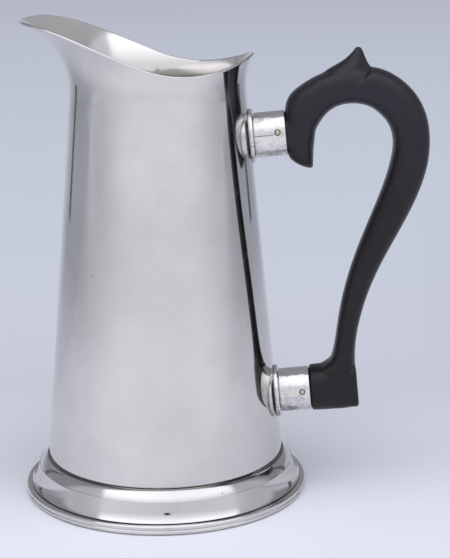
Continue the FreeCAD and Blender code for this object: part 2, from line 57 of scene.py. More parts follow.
def addNode(tree, kind, settings=None, inputs=None):
    made = tree.nodes.new(kind)
    for key, setting in (settings or {}).items():
        setattr(made, key, setting)
    for key, given in (inputs or {}).items():
        if isinstance(given, bpy.types.NodeSocket):
            tree.links.new(given, made.inputs[key])
        else:
            made.inputs[key].default_value = given
    return made


def newMaterial(name):
    material = bpy.data.materials.new(name)
    material.use_nodes = True
    return material, material.node_tree, material.node_tree.nodes["Principled BSDF"]


def dress(tree, shader, tone, roughness, normal):
    for key, socket in (("Base Color", tone), ("Roughness", roughness), ("Normal", normal)):
        tree.links.new(socket, shader.inputs[key])


def creviceShadeAndGrime(tree, reach, ownOnly):  # share of painted shade in corners this many millimetres deep, with the polish and dust that gather there; darker where a point sees less open sky
    sky = addNode(tree, "ShaderNodeAmbientOcclusion", {"samples": 12, "only_local": ownOnly}, {
        "Distance": reach / metre})
    return addNode(tree, "ShaderNodeMapRange", inputs={
        "Value": sky.outputs["AO"], "From Min": 0.72, "From Max": 0.3}).outputs[0]


# Spun pewter, buffed on the lathe: a soft grey mirror with faint rings from the mop,
# handling scratches, finger marks that only change the gloss, and a few pits.
def spunPewter(name, light, dark, gloss, dull, metallic):
    look = {
        "tarnish": 60, "smear": 11, "mopRing": 0.5, "ringLength": 15, "scratch": 0.3,  # mm
        "scratchLength": 30, "pitSpacing": 14, "wave": 26, "crevice": 0.6,
        "waveDepth": 0.04, "ringDepth": 0.0012, "scratchDepth": 0.006,
        "scratchTurns": ((0, 0.8, 0.2), (0.2, -1.0, 0), (0.1, 1.3, -0.3)),  # radians
        "scratchDulls": 0.12, "scratchShows": 0.16,
        # the last tone is painted shade in corners and seams, with polish and dust
        "pitTone": "#6f6c68", "scratchTone": "#aaa69f", "shadeAndGrimeTone": "#4a4745",
    }
    material, tree, shader = newMaterial(name)
    place = addNode(tree, "ShaderNodeTexCoord").outputs["Object"]
    tarnish = addNode(tree, "ShaderNodeTexNoise", inputs={
        "Vector": place, "Scale": perMetre(look["tarnish"]), "Detail": 6.0, "Roughness": 0.6})
    cloud = addNode(tree, "ShaderNodeMapRange", inputs={
        "Value": tarnish.outputs["Fac"], "From Min": 0.34, "From Max": 0.66})
    tone = addNode(tree, "ShaderNodeMix", {"data_type": "RGBA"}, {
        0: cloud.outputs[0], 6: linear(light), 7: linear(dark)})
    smear = addNode(tree, "ShaderNodeTexNoise", inputs={
        "Vector": place, "Scale": perMetre(look["smear"]), "Detail": 6.0, "Roughness": 0.65,
        "Distortion": 0.8})
    roughness = addNode(tree, "ShaderNodeMapRange", inputs={
        "Value": smear.outputs["Fac"], "From Min": 0.35, "From Max": 0.75, "To Min": gloss, "To Max": dull})

    # rings and scratches are stretched noise, drawn coarser than life so that they show
    squash = look["ringLength"] / look["mopRing"]
    ringPlace = addNode(tree, "ShaderNodeMapping", inputs={"Vector": place, "Scale": (1, 1, squash)})
    rings = addNode(tree, "ShaderNodeTexNoise", inputs={
        "Vector": ringPlace.outputs[0], "Scale": perMetre(look["ringLength"]), "Detail": 3.0})
    stretch = look["scratchLength"] / look["scratch"]
    scratches = 0.0
    for turn in look["scratchTurns"]:
        scratchPlace = addNode(tree, "ShaderNodeMapping", {"vector_type": "TEXTURE"}, {
            "Vector": place, "Rotation": turn, "Scale": (1, 1, 1 / stretch)})
        streak = addNode(tree, "ShaderNodeTexNoise", inputs={
            "Vector": scratchPlace.outputs[0], "Scale": perMetre(look["scratchLength"]), "Detail": 1.0})
        cut = addNode(tree, "ShaderNodeMapRange", inputs={
            "Value": streak.outputs["Fac"], "From Min": 0.75, "From Max": 0.8})
        scratches = addNode(tree, "ShaderNodeMath", {"operation": "MAXIMUM"}, {
            0: cut.outputs[0], 1: scratches}).outputs[0]
    pits = addNode(tree, "ShaderNodeTexVoronoi", inputs={
        "Vector": place, "Scale": perMetre(look["pitSpacing"])})
    pit = addNode(tree, "ShaderNodeMapRange", inputs={
        "Value": pits.outputs["Distance"], "From Min": 0.02, "From Max": 0.034,
        "To Min": 1.0, "To Max": 0.0})
    wave = addNode(tree, "ShaderNodeTexNoise", inputs={
        "Vector": place, "Scale": perMetre(look["wave"]), "Detail": 1.0})

    worn = addNode(tree, "ShaderNodeMath", {"operation": "MULTIPLY_ADD"}, {
        0: scratches, 1: look["scratchDulls"], 2: roughness.outputs[0]})
    marked = addNode(tree, "ShaderNodeMath", {"operation": "MULTIPLY"}, {
        0: scratches, 1: look["scratchShows"]})
    # painted shade, with polish and dust: the colour darkens in corners and seams where little open sky is
    # seen
    shadeAndGrime = creviceShadeAndGrime(tree, look["crevice"], False)
    covers = ((pit.outputs[0], "pitTone"), (marked.outputs[0], "scratchTone"), (shadeAndGrime, "shadeAndGrimeTone"))
    for share, over in covers:
        tone = addNode(tree, "ShaderNodeMix", {"data_type": "RGBA"}, {
            0: share, 6: tone.outputs[2], 7: linear(look[over])})
    bump = addNode(tree, "ShaderNodeBump", inputs={
        "Height": wave.outputs["Fac"], "Strength": 1.0, "Distance": look["waveDepth"] / metre})
    reliefs = ((rings.outputs["Fac"], "ringDepth", False), (scratches, "scratchDepth", True))
    for height, depth, sunk in reliefs:
        bump = addNode(tree, "ShaderNodeBump", {"invert": sunk}, {
            "Height": height, "Strength": 1.0, "Distance": look[depth] / metre, "Normal": bump.outputs[0]})
    dress(tree, shader, tone.outputs[2], worn.outputs[0], bump.outputs[0])
    shader.inputs["Metallic"].default_value = metallic
    return material


# Cast pewter, filed and burnished by hand: whiter than the spun body, with small hammer facets and file
# marks that break its reflections up, dark specks mostly on faces that look down, and painted shade in
# corners.
def castPewter(name, light, dark, gloss, dull):
    look = {
        "facet": 2.6, "file": 0.4, "fileLength": 6, "tarnish": 7, "grit": 0.8, "crevice": 0.8,  # mm
        "facetDepth": 0.14, "fileDepth": 0.01,
        "fileTurn": (0.2, 0.5, 0),  # radians
        # the last tone is painted shade in corners and grooves, with polish and dust
        "downSpecksTone": "#76736d", "shadeAndGrimeTone": "#a09d99",
    }
    material, tree, shader = newMaterial(name)
    places = addNode(tree, "ShaderNodeTexCoord")
    place = places.outputs["Object"]
    facet = addNode(tree, "ShaderNodeTexVoronoi", {"feature": "SMOOTH_F1"}, {
        "Vector": place, "Scale": perMetre(look["facet"]), "Smoothness": 0.7})
    filePlace = addNode(tree, "ShaderNodeMapping", {"vector_type": "TEXTURE"}, {
        "Vector": place, "Rotation": look["fileTurn"], "Scale": (look["file"] / look["fileLength"], 1, 1)})
    fileMarks = addNode(tree, "ShaderNodeTexNoise", inputs={
        "Vector": filePlace.outputs[0], "Scale": perMetre(look["fileLength"]), "Detail": 3.0})
    tarnish = addNode(tree, "ShaderNodeTexNoise", inputs={
        "Vector": place, "Scale": perMetre(look["tarnish"]), "Detail": 6.0, "Roughness": 0.7})
    tone = addNode(tree, "ShaderNodeMix", {"data_type": "RGBA"}, {
        0: tarnish.outputs["Fac"], 6: linear(light), 7: linear(dark)})
    roughness = addNode(tree, "ShaderNodeMapRange", inputs={
        "Value": tarnish.outputs["Fac"], "From Min": 0.3, "From Max": 0.7, "To Min": gloss, "To Max": dull})

    # specks lie where the tarnish is heaviest, mostly on faces that look down
    grit = addNode(tree, "ShaderNodeTexNoise", inputs={
        "Vector": place, "Scale": perMetre(look["grit"]), "Detail": 2.0})
    specks = addNode(tree, "ShaderNodeMath", {"operation": "MULTIPLY"}, {
        0: grit.outputs["Fac"], 1: tarnish.outputs["Fac"]})
    facing = addNode(tree, "ShaderNodeSeparateXYZ", inputs={0: places.outputs["Normal"]})
    under = addNode(tree, "ShaderNodeMapRange", {"interpolation_type": "SMOOTHSTEP"}, {
        "Value": facing.outputs["Z"], "From Min": 0.3, "From Max": -0.4, "To Min": 0.06, "To Max": 0.7})
    # dark specks, strongest on faces that look down
    downSpecks = addNode(tree, "ShaderNodeMapRange", inputs={
        "Value": specks.outputs[0], "From Min": 0.25, "From Max": 0.38, "To Max": under.outputs[0]})
    # painted shade, with polish and dust: the colour darkens in grooves where little open sky is seen
    shadeAndGrime = creviceShadeAndGrime(tree, look["crevice"], True)
    for share, over in ((downSpecks.outputs[0], "downSpecksTone"), (shadeAndGrime, "shadeAndGrimeTone")):
        tone = addNode(tree, "ShaderNodeMix", {"data_type": "RGBA"}, {
            0: share, 6: tone.outputs[2], 7: linear(look[over])})
    bump = addNode(tree, "ShaderNodeBump", inputs={
        "Height": facet.outputs["Distance"], "Strength": 1.0, "Distance": look["facetDepth"] / metre})
    bump = addNode(tree, "ShaderNodeBump", inputs={
        "Height": fileMarks.outputs["Fac"], "Strength": 1.0, "Distance": look["fileDepth"] / metre,
        "Normal": bump.outputs[0]})
    dress(tree, shader, tone.outputs[2], roughness.outputs[0], bump.outputs[0])
    shader.inputs["Metallic"].default_value = 1.0
    return material


# Drawn brass rod, filed flush: a warm small highlight.
def drawnBrass():
    look = {"stain": 0.8, "filing": 0.25, "filingDepth": 0.02}  # mm
    material, tree, shader = newMaterial("brassDrawnFiled")
    place = addNode(tree, "ShaderNodeTexCoord").outputs["Object"]
    stain = addNode(tree, "ShaderNodeTexNoise", inputs={
        "Vector": place, "Scale": perMetre(look["stain"]), "Detail": 4.0})
    tone = addNode(tree, "ShaderNodeMix", {"data_type": "RGBA"}, {
        0: stain.outputs["Fac"], 6: linear("#e0d8bf"), 7: linear("#a99d7c")})
    roughness = addNode(tree, "ShaderNodeMapRange", inputs={
        "Value": stain.outputs["Fac"], "From Min": 0.3, "From Max": 0.7, "To Min": 0.2, "To Max": 0.38})
    filing = addNode(tree, "ShaderNodeTexNoise", inputs={
        "Vector": place, "Scale": perMetre(look["filing"]), "Detail": 2.0})
    bump = addNode(tree, "ShaderNodeBump", inputs={
        "Height": filing.outputs["Fac"], "Strength": 1.0, "Distance": look["filingDepth"] / metre})
    dress(tree, shader, tone.outputs[2], roughness.outputs[0], bump.outputs[0])
    shader.inputs["Metallic"].default_value = 1.0
    return material


# Ebonised hardwood, carved, stained black and waxed: close pores along the grain, and a satin sheen
# that is brighter where hands have rubbed it. The top of the bow is painted paler, a painted sheen from the
# light above.
def ebonisedWood():
    look = {
        "pore": 0.35, "poreLength": 7, "rub": 18, "ripple": 5,  # mm
        "rippleDepth": 0.12, "poreDepth": 0.08, "paintedSheenFrom": 125, "paintedSheenTo": 185,
        "grainTurn": (0, 0.3, 0),  # radians
    }
    material, tree, shader = newMaterial("hardwoodEbonisedWaxed")
    place = addNode(tree, "ShaderNodeTexCoord").outputs["Object"]
    narrow = look["pore"] / look["poreLength"]
    grainPlace = addNode(tree, "ShaderNodeMapping", {"vector_type": "TEXTURE"}, {
        "Vector": place, "Rotation": look["grainTurn"], "Scale": (narrow, narrow, 1)})
    pores = addNode(tree, "ShaderNodeTexNoise", inputs={
        "Vector": grainPlace.outputs[0], "Scale": perMetre(look["poreLength"]), "Detail": 3.0})
    rub = addNode(tree, "ShaderNodeTexNoise", inputs={
        "Vector": place, "Scale": perMetre(look["rub"]), "Detail": 5.0, "Roughness": 0.6})
    ripple = addNode(tree, "ShaderNodeTexNoise", inputs={
        "Vector": place, "Scale": perMetre(look["ripple"]), "Detail": 2.0})
    height = addNode(tree, "ShaderNodeSeparateXYZ", inputs={0: place}).outputs["Z"]
    # painted sheen: the colour grows paler with height towards the top of the bow, where the light from
    # above falls
    paintedSheen = addNode(tree, "ShaderNodeMapRange", {"interpolation_type": "SMOOTHSTEP"}, {
        "Value": height, "From Min": look["paintedSheenFrom"] / metre, "From Max": look["paintedSheenTo"] / metre,
        "To Min": -0.15, "To Max": 0.6})
    # worn mixes random rubbing with the painted sheen on the bow's top
    worn = addNode(tree, "ShaderNodeMath", {"operation": "MULTIPLY_ADD"}, {
        0: rub.outputs["Fac"], 1: 0.5, 2: paintedSheen.outputs[0]})
    tone = addNode(tree, "ShaderNodeMix", {"data_type": "RGBA"}, {
        0: worn.outputs[0], 6: linear("#040307"), 7: linear("#1d1925")})
    roughness = addNode(tree, "ShaderNodeMapRange", inputs={
        "Value": rub.outputs["Fac"], "From Min": 0.3, "From Max": 0.7, "To Min": 0.37, "To Max": 0.25})
    bump = addNode(tree, "ShaderNodeBump", inputs={
        "Height": ripple.outputs["Fac"], "Strength": 1.0, "Distance": look["rippleDepth"] / metre})
    bump = addNode(tree, "ShaderNodeBump", inputs={
        "Height": pores.outputs["Fac"], "Strength": 1.0, "Distance": look["poreDepth"] / metre,
        "Normal": bump.outputs[0]})
    dress(tree, shader, tone.outputs[2], roughness.outputs[0], bump.outputs[0])
    shader.inputs["Specular IOR Level"].default_value = 0.4
    return material


pewter = spunPewter("pewterSpunBuffed", "#e3e1df", "#d2cfcc", gloss=0.045, dull=0.1, metallic=1.0)
# the inside: the same spun pewter with a duller finish, painted paler than the outside, a painted
# brightening of the inside
pewterInside = spunPewter("pewterSpunDullPaintedPale", "#f4f2ee", "#e6e3df", gloss=0.13, dull=0.2, metallic=0.82)
pewterCast = castPewter("pewterCastBurnished", "#f0efee", "#d8d7d5", gloss=0.15, dull=0.28)
pewterDull = castPewter("pewterCastFiled", "#d9d8d6", "#bebcba", gloss=0.2, dull=0.34)
brass = drawnBrass()
blackWood = ebonisedWood()
print("materials made")


def arcPoints(start, end, bend, turn, steps):  # points between the ends of an arc under a half circle
    start, end = np.array(start, float), np.array(end, float)
    chord = end - start
    length = np.linalg.norm(chord)
    across = np.array((-chord[1], chord[0])) / length * turn
    centre = (start + end) / 2 + across * math.sqrt(bend ** 2 - (length / 2) ** 2)
    first, last = [math.atan2(*(p - centre)[::-1]) for p in (start, end)]
    sweep = (last - first) * turn % (2 * math.pi) * turn
    turns = first + sweep * np.arange(1, steps) / steps
    return [tuple(centre + bend * np.array((math.cos(a), math.sin(a)))) for a in turns]


def outline(corners, steps=20):  # corners are radius and along, with a bend and a turn where an arc starts
    points = []
    for corner, following in zip(corners, corners[1:] + corners[:1]):
        points.append(corner[:2])
        if len(corner) > 2:
            points += arcPoints(corner[:2], following[:2], *corner[2:], steps)
    return points


def bowed(start, corner, end, count):  # points of a curve that follows a corner's two sides at its ends
    shares = np.linspace(0, 1, count)
    return [(1 - s) ** 2 * start + 2 * s * (1 - s) * corner + s ** 2 * end for s in shares]


def softened(profile, bend, steps=4, sharp=20, most=0.45):  # rounds a closed profile's sharp corners
    points = np.array(profile, float)
    soft = []
    for before, point, after in zip(np.roll(points, 1, 0), points, np.roll(points, -1, 0)):
        back, on = before - point, after - point
        backLength, onLength = np.linalg.norm(back), np.linalg.norm(on)
        turn = math.pi - math.acos(np.clip(back @ on / (backLength * onLength), -1, 1))
        if turn < math.radians(sharp) or point[0] == 0:
            soft.append(point)
            continue
        cut = min(bend * math.tan(turn / 2), backLength * most, onLength * most)
        start, end = point + back / backLength * cut, point + on / onLength * cut
        soft += bowed(start, point, end, steps + 1)
    return soft


def gridFaces(rows, columns, wrap):  # quads between rows of points that close round on themselves
    row = np.arange(rows if wrap else rows - 1)[:, None] * columns
    rowOn = (row + columns) % (rows * columns)
    column = np.arange(columns)[None, :]
    columnOn = (column + 1) % columns
    corners = [row + column, row + columnOn, rowOn + columnOn, rowOn + column]
    return np.stack(corners, -1).reshape(-1, 4).tolist()


def addObject(name, data):
    made = bpy.data.objects.new(name, data)
    bpy.context.scene.collection.objects.link(made)
    return made


def closedMesh(name, points, faces):  # points in millimetres
    mesh = bpy.data.meshes.new(name)
    mesh.from_pydata((np.asarray(points, float).reshape(-1, 3) / metre).tolist(), [], faces)
    work = bmesh.new()
    work.from_mesh(mesh)
    bmesh.ops.remove_doubles(work, verts=work.verts, dist=weldWithin)
    bmesh.ops.recalc_face_normals(work, faces=work.faces)
    work.to_mesh(mesh)
    work.free()
    return mesh


def standFor(piece, node):
    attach(piece, "root")
    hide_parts(node)
    return piece


def meshPiece(name, points, faces, node, slot, *materials):
    mesh = closedMesh(name, points, faces)
    mesh.shade_smooth()
    for material in materials:
        mesh.materials.append(material)
    return standFor(addObject(name, mesh), node)


def placed(points, place):
    matrix = np.array(place)
    return points @ matrix[:3, :3].T + matrix[:3, 3]


def turned(profile, place=None, steps=320):  # points and faces of a profile turned about the place's Z
    angles = np.linspace(0, 2 * math.pi, steps, endpoint=False)
    radius, along = np.array(profile, float).T
    points = np.stack([np.outer(radius, np.cos(angles)), np.outer(radius, np.sin(angles)),
                       np.repeat(along[:, None], steps, 1)], -1).reshape(-1, 3)
    if place is not None:
        points = placed(points, place)
    onAxis = radius[0] == 0 and radius[-1] == 0
    return points, gridFaces(len(profile), steps, not onAxis)


def applyModifiers(piece):
    evaluated = piece.evaluated_get(bpy.context.evaluated_depsgraph_get())
    mesh = bpy.data.meshes.new_from_object(evaluated)
    piece.modifiers.clear()
    old, piece.data = piece.data, mesh
    bpy.data.meshes.remove(old)


# Foot: a wire with a bead over a band, under a spun ring with a cove, a ledge and a shallow ovolo.
footSizes = {
    "radius": 64.98, "beadBend": 1.1, "beadSetback": 0.2,
    "bandSetback": 0.25, "bandBend": 1.6, "bandDrop": 0.2, "wireOverhang": 2.7, "wireLip": 0.9,
    "coveWidth": 3.9, "coveHeight": 8.6,
    "coveFoot": 58.0, "coveHead": 14.0,  # degrees from upright
    "ledge": 0.25, "ovoloWidth": 3.5, "ovoloHeight": 3.7, "ovoloBend": 9.0, "wall": 1.8,
    "flangeWidth": 10.3, "seatDepth": 1.0, "seamGap": 0.45, "edge": 0.15, "crevice": 0.22,
}
wireHeight = 4 * footSizes["beadBend"]
coveFootRadius = footSizes["radius"] - footSizes["wireOverhang"]
ledgeRadius = coveFootRadius - footSizes["coveWidth"]
stepRadius = ledgeRadius - footSizes["ledge"]
seatRadius = stepRadius - footSizes["ovoloWidth"]
baseRadius = seatRadius - footSizes["seamGap"]
flangeRadius = baseRadius - footSizes["flangeWidth"]
stepHeight = wireHeight + footSizes["coveHeight"]
footHeight = stepHeight + footSizes["ovoloHeight"]
seatHeight = footHeight - footSizes["seatDepth"]


def footWire():
    bend, edge = footSizes["beadBend"], footSizes["bandBend"]
    inside = coveFootRadius - footSizes["wall"] - footSizes["wireLip"]
    band = footSizes["radius"] - footSizes["bandSetback"]
    middle = footSizes["radius"] - bend - footSizes["beadSetback"]
    profile = outline([
        (inside, 0), (band - edge, 0, edge, left), (band, edge), (band, 2 * bend - footSizes["bandDrop"]),
        (middle, 2 * bend, bend, left), (middle + bend, 3 * bend, bend, left), (middle, wireHeight),
        (inside, wireHeight)], steps=10)
    return meshPiece("footWire", *turned(profile), "foot_wire", "pewter", pewter)


def coveCurve(count=24):  # from the foot of the cove up, a curve that stands nearly straight at its head
    foot = np.array((coveFootRadius, wireHeight + footSizes["crevice"]))
    head = np.array((ledgeRadius, stepHeight))
    leans = [math.radians(footSizes[key]) for key in ("coveFoot", "coveHead")]
    footWay, headWay = [np.array((-math.sin(lean), math.cos(lean))) for lean in leans]
    reach = np.linalg.solve(np.stack([footWay, headWay], 1), head - foot)[0]
    return bowed(foot, foot + footWay * reach, head, count)


def footRing():
    wall = footSizes["wall"]
    underside = [(coveFootRadius - wall, wireHeight), (coveFootRadius - wall / 2, wireHeight),
                 (coveFootRadius - wall / 2, wireHeight + footSizes["crevice"])]
    top = outline([
        (stepRadius, stepHeight, footSizes["ovoloBend"], left), (seatRadius, footHeight),
        (seatRadius, seatHeight), (flangeRadius, seatHeight), (flangeRadius, seatHeight - wall),
        (seatRadius - wall, seatHeight - wall), (stepRadius - wall, stepHeight - wall)])
    profile = softened(underside + coveCurve() + top, footSizes["edge"])
    return meshPiece("footRing", *turned(profile), "foot_ring", "pewter", pewter)


# Body: a tapering side and a trumpet lip in one spun sheet, the rim cut to a wave and rounded over.
bodySizes = {
    "neckRadius": 38.9, "neckHeight": 182.7, "neckEasing": 8.0, "wall": 1.3,
    "flareBend": 27.6, "lipBend": 44.1,
    "flareLean": 43.1, "lipLean": 65.5,  # degrees from upright
    "floorThickness": 1.6, "floorCrown": 2.5, "solderGap": 0.15,
    "around": 480, "sideRows": 40, "lipRows": 70, "rimRows": 7, "curveSteps": 4000, "halvings": 40,
}
rimSizes = {
    "dipAt": 16.2, "dipHeight": 193.0, "dipBend": 53.1, "crestStart": 31.4, "crestBend": 99.8,
    "dipEndAngle": 45.0, "riseAngle": 22.5,  # degrees
}
taper = (baseRadius - bodySizes["neckRadius"]) / (bodySizes["neckHeight"] - seatHeight)
sideLean = -math.atan(taper)


def rimHeight(x):  # the wave seen from the side: a dip, a straight rise to the spout and a crest over it
    rise = math.radians(rimSizes["riseAngle"])
    dipBend, crestBend = rimSizes["dipBend"], rimSizes["crestBend"]
    dipLeft = rimSizes["dipAt"] - dipBend * math.sin(rise)
    dipRight = rimSizes["dipAt"] + dipBend * math.sin(math.radians(rimSizes["dipEndAngle"]))
    crestTop = -rimSizes["crestStart"] - crestBend * math.sin(rise)
    lineStart = rimSizes["dipHeight"] + dipBend * (1 - math.cos(rise))
    crestTopHeight = (lineStart + (dipLeft + rimSizes["crestStart"]) * math.tan(rise)
                      + crestBend * (1 - math.cos(rise)))
    fromDip = np.clip(x, dipLeft, dipRight) - rimSizes["dipAt"]
    fromCrest = np.clip(x, crestTop, -rimSizes["crestStart"]) - crestTop
    dip = rimSizes["dipHeight"] + dipBend - np.sqrt(dipBend ** 2 - fromDip ** 2)
    line = lineStart + (dipLeft - x) * math.tan(rise)
    crest = crestTopHeight - crestBend + np.sqrt(crestBend ** 2 - fromCrest ** 2)
    return np.where(x > dipLeft, dip, np.where(x > -rimSizes["crestStart"], line, crest))


def lipCurve():  # outside of the flare and lip, as leans, radii and heights; the bend eases in at the neck
    easing, flareBend, lipBend = [bodySizes[key] for key in ("neckEasing", "flareBend", "lipBend")]
    flareLean, lipLean = [math.radians(bodySizes[key]) for key in ("flareLean", "lipLean")]
    flareEnd = (flareLean - sideLean) * flareBend + easing / 2
    run = np.linspace(0, flareEnd + (lipLean - flareLean) * lipBend, bodySizes["curveSteps"])
    step = run[1]
    bend = np.where(run < flareEnd, np.clip(run / easing, 0, 1) / flareBend, 1 / lipBend)
    leans = sideLean + np.cumsum(bend) * step
    radii = bodySizes["neckRadius"] + easing / 2 * taper + np.cumsum(np.sin(leans)) * step
    heights = bodySizes["neckHeight"] - easing / 2 + np.cumsum(np.cos(leans)) * step
    return leans, radii, heights


def lipPoint(lean):  # where the outside stands when the sheet leans this far from upright
    leans, radii, heights = lipCurve()
    return np.interp(lean, leans, radii), np.interp(lean, leans, heights)


def rimLeans(angles):  # the lean at which the rounded rim reaches the wave, found by halving
    wall = bodySizes["wall"]
    low = np.full_like(angles, sideLean)
    high = np.full_like(angles, math.radians(bodySizes["lipLean"]) - wall / 2 / bodySizes["lipBend"])
    for halving in range(bodySizes["halvings"]):
        lean = (low + high) / 2
        radius, height = lipPoint(lean)
        middle = radius - wall / 2 * np.cos(lean)
        top = height + wall / 2 * (np.sin(lean) + np.cos(lean))
        above = top > rimHeight(middle * np.cos(angles))
        low, high = np.where(above, low, lean), np.where(above, lean, high)
    return low


def bodyShell():
    wall = bodySizes["wall"]
    angles = np.linspace(0, 2 * math.pi, bodySizes["around"], endpoint=False)
    rimLean = rimLeans(angles)
    side = np.linspace(0, 1, bodySizes["sideRows"], endpoint=False)[:, None]
    lipLeans = sideLean + (rimLean - sideLean) * np.linspace(0, 1, bodySizes["lipRows"])[:, None]
    lipRadius, lipHeight = lipPoint(lipLeans)
    sideRadius = baseRadius + (lipRadius[0] - baseRadius) * side
    sideHeight = seatHeight + (lipHeight[0] - seatHeight) * side
    outer = np.vstack([sideRadius, lipRadius]), np.vstack([sideHeight, lipHeight])
    lean = np.vstack([np.full_like(sideRadius, sideLean), lipLeans])
    inner = (outer[0] - wall * np.cos(lean))[::-1], (outer[1] + wall * np.sin(lean))[::-1]
    inner[0][-1] = baseRadius - wall / math.cos(sideLean)
    inner[1][-1] = seatHeight
    swing = np.linspace(0, math.pi, bodySizes["rimRows"] + 2)[1:-1, None]
    middle = (outer[0][-1] + inner[0][0]) / 2, (outer[1][-1] + inner[1][0]) / 2
    rim = (middle[0] + wall / 2 * (np.cos(swing) * np.cos(rimLean) + np.sin(swing) * np.sin(rimLean)),
           middle[1] + wall / 2 * (np.sin(swing) * np.cos(rimLean) - np.cos(swing) * np.sin(rimLean)))
    radius, height = [np.vstack(rows) for rows in zip(outer, rim, inner)]
    points = np.stack([radius * np.cos(angles), radius * np.sin(angles), height], -1)
    faces = gridFaces(len(radius), len(angles), True)
    piece = meshPiece("bodyShell", points, faces, "body_shell", "pewter", pewter, pewterInside)
    insideFrom = len(outer[0]) + bodySizes["rimRows"]
    rows = np.repeat(np.arange(len(radius)), len(angles))
    piece.data.polygons.foreach_set("material_index", (rows >= insideFrom).astype(np.int32))
    return piece


def bodyFloor():
    crown, thick = bodySizes["floorCrown"], bodySizes["floorThickness"]
    edge = baseRadius - bodySizes["wall"] / math.cos(sideLean) - taper * thick - bodySizes["solderGap"]
    bend = (flangeRadius ** 2 + crown ** 2) / (2 * crown)
    profile = outline([
        (0, seatHeight + crown, bend, right), (flangeRadius, seatHeight), (edge, seatHeight),
        (edge, seatHeight + thick), (flangeRadius, seatHeight + thick, bend, left),
        (0, seatHeight + thick + crown)])
    return meshPiece("bodyFloor", *turned(profile), "body_floor", "pewter", pewterInside)


# Sockets: a saddle coped to the body, a bead, a sleeve for the handle's tenon and a pin across it.
socketSizes = {
    "upper": {"height": 162.9, "pinRise": 1.7},
    "lower": {"height": 45.0, "pinRise": 1.1},
    "saddleWidth": 36.0, "saddleTall": 20.8, "saddleFullness": 2.6, "saddleGap": 0.02, "saddleTop": -1.5,
    "saddleLeast": 0.12, "saddleEdge": 0.25, "neckRadius": 11.0, "neckInset": 0.6,
    "edgeRows": ((0, 0.5), (0, 0.88), (0.3, 0.97), (1, 1)),  # share of the edge cut off, and of the height
    "neckRows": ((0.2, 1), (0.1, 0.05), (0, 0.05)),  # mm out from the neck, and share of the height
    "beadStart": -0.5, "beadRadius": 12.0, "beadWidth": 2.4, "beadCrown": 0.3, "beadGap": 0.4,
    "beadClear": 0.02, "beadCover": 0.4, "spigot": 2.0,
    "sleeveRadius": 10.0, "sleeveWall": 1.2, "sleeveLength": 13.7, "edge": 0.25, "sharpAngle": 40,
    "pinRadius": 1.05, "pinDome": 0.35, "pinSetback": 3.5, "pinRing": 0.35,
    "seamRise": 0.8, "seamHalf": 0.2, "seamDepth": 0.9, "seamStart": 0.3, "seamStop": 0.9, "overrun": 1.0,
    "saddleSteps": 160, "underRows": 12, "copeRounds": 8,
    "beadSteps": 192, "sleeveSteps": 256, "drillSteps": 64, "pinSteps": 48,
}
beadEnd = socketSizes["beadStart"] + socketSizes["beadWidth"]
sleeveEnd = beadEnd + socketSizes["sleeveLength"]
sleeveBore = socketSizes["sleeveRadius"] - socketSizes["sleeveWall"]
pinPlace = sleeveEnd - socketSizes["pinSetback"]


def socketPlace(socket):  # local Z runs out along the socket, local X upwards, local Y towards the front
    height = socketSizes[socket]["height"]
    radius = baseRadius - taper * (height - seatHeight)
    c, s = math.cos(sideLean), -math.sin(sideLean)
    return Matrix(((-s, 0, c, radius), (0, -1, 0, 0), (c, 0, s, height), (0, 0, 0, 1)))


def onBody(socket, up, across):  # how far out the body's surface lies at a place across the socket
    place = socketPlace(socket)
    c, s = place[0][2], place[2][2]
    radius = place[0][3]
    out = np.zeros_like(up)
    for step in range(socketSizes["copeRounds"]):
        bodyRadius = radius + socketSizes["saddleGap"] - taper * (out * s + up * c)
        out = (np.sqrt(bodyRadius ** 2 - across ** 2) - radius + up * s) / c
    return out


def beadFace(socket, up, across):  # the bead's back, which stops at the body
    return np.maximum(socketSizes["beadStart"], onBody(socket, up, across) + socketSizes["beadClear"])


def saddle(socket):  # a low flat-topped drum coped to the body, and a neck that carries the bead
    steps = socketSizes["saddleSteps"]
    angles = np.linspace(0, 2 * math.pi, steps, endpoint=False)
    power = 2 / socketSizes["saddleFullness"]
    full = [np.copysign(np.abs(c) ** power, c) for c in (np.cos(angles), np.sin(angles))]
    up, across = full[0] * socketSizes["saddleTall"] / 2, full[1] * socketSizes["saddleWidth"] / 2
    reach = np.hypot(up, across)
    up, across = up / reach, across / reach
    neck = np.minimum(socketSizes["neckRadius"], reach - socketSizes["neckInset"])
    rows = [(share * reach, 0) for share in np.linspace(0, 1, socketSizes["underRows"])]
    rows += [(reach - socketSizes["saddleEdge"] * cut, share) for cut, share in socketSizes["edgeRows"]]
    rows += [((reach + neck) / 2, 1)]
    rows += [(neck + out, share) for out, share in socketSizes["neckRows"]]
    points = []
    for radius, share in rows:
        low = onBody(socket, radius * up, radius * across)
        out = low + share * np.maximum(socketSizes["saddleLeast"], socketSizes["saddleTop"] - low)
        under = np.minimum(out, beadFace(socket, radius * up, radius * across))
        covered = radius < socketSizes["beadRadius"] + socketSizes["beadCover"]
        points.append((radius * up, radius * across, np.where(covered, under, out)))
    for radius in (neck, 0 * neck):
        points.append((radius * up, radius * across, beadFace(socket, radius * up, radius * across)))
    points = placed(np.array(points).transpose(0, 2, 1).reshape(-1, 3), socketPlace(socket))
    faces = gridFaces(len(points) // steps, steps, False)
    return meshPiece(f"{socket}Saddle", points, faces, f"{socket}_saddle", "pewter", pewterDull)


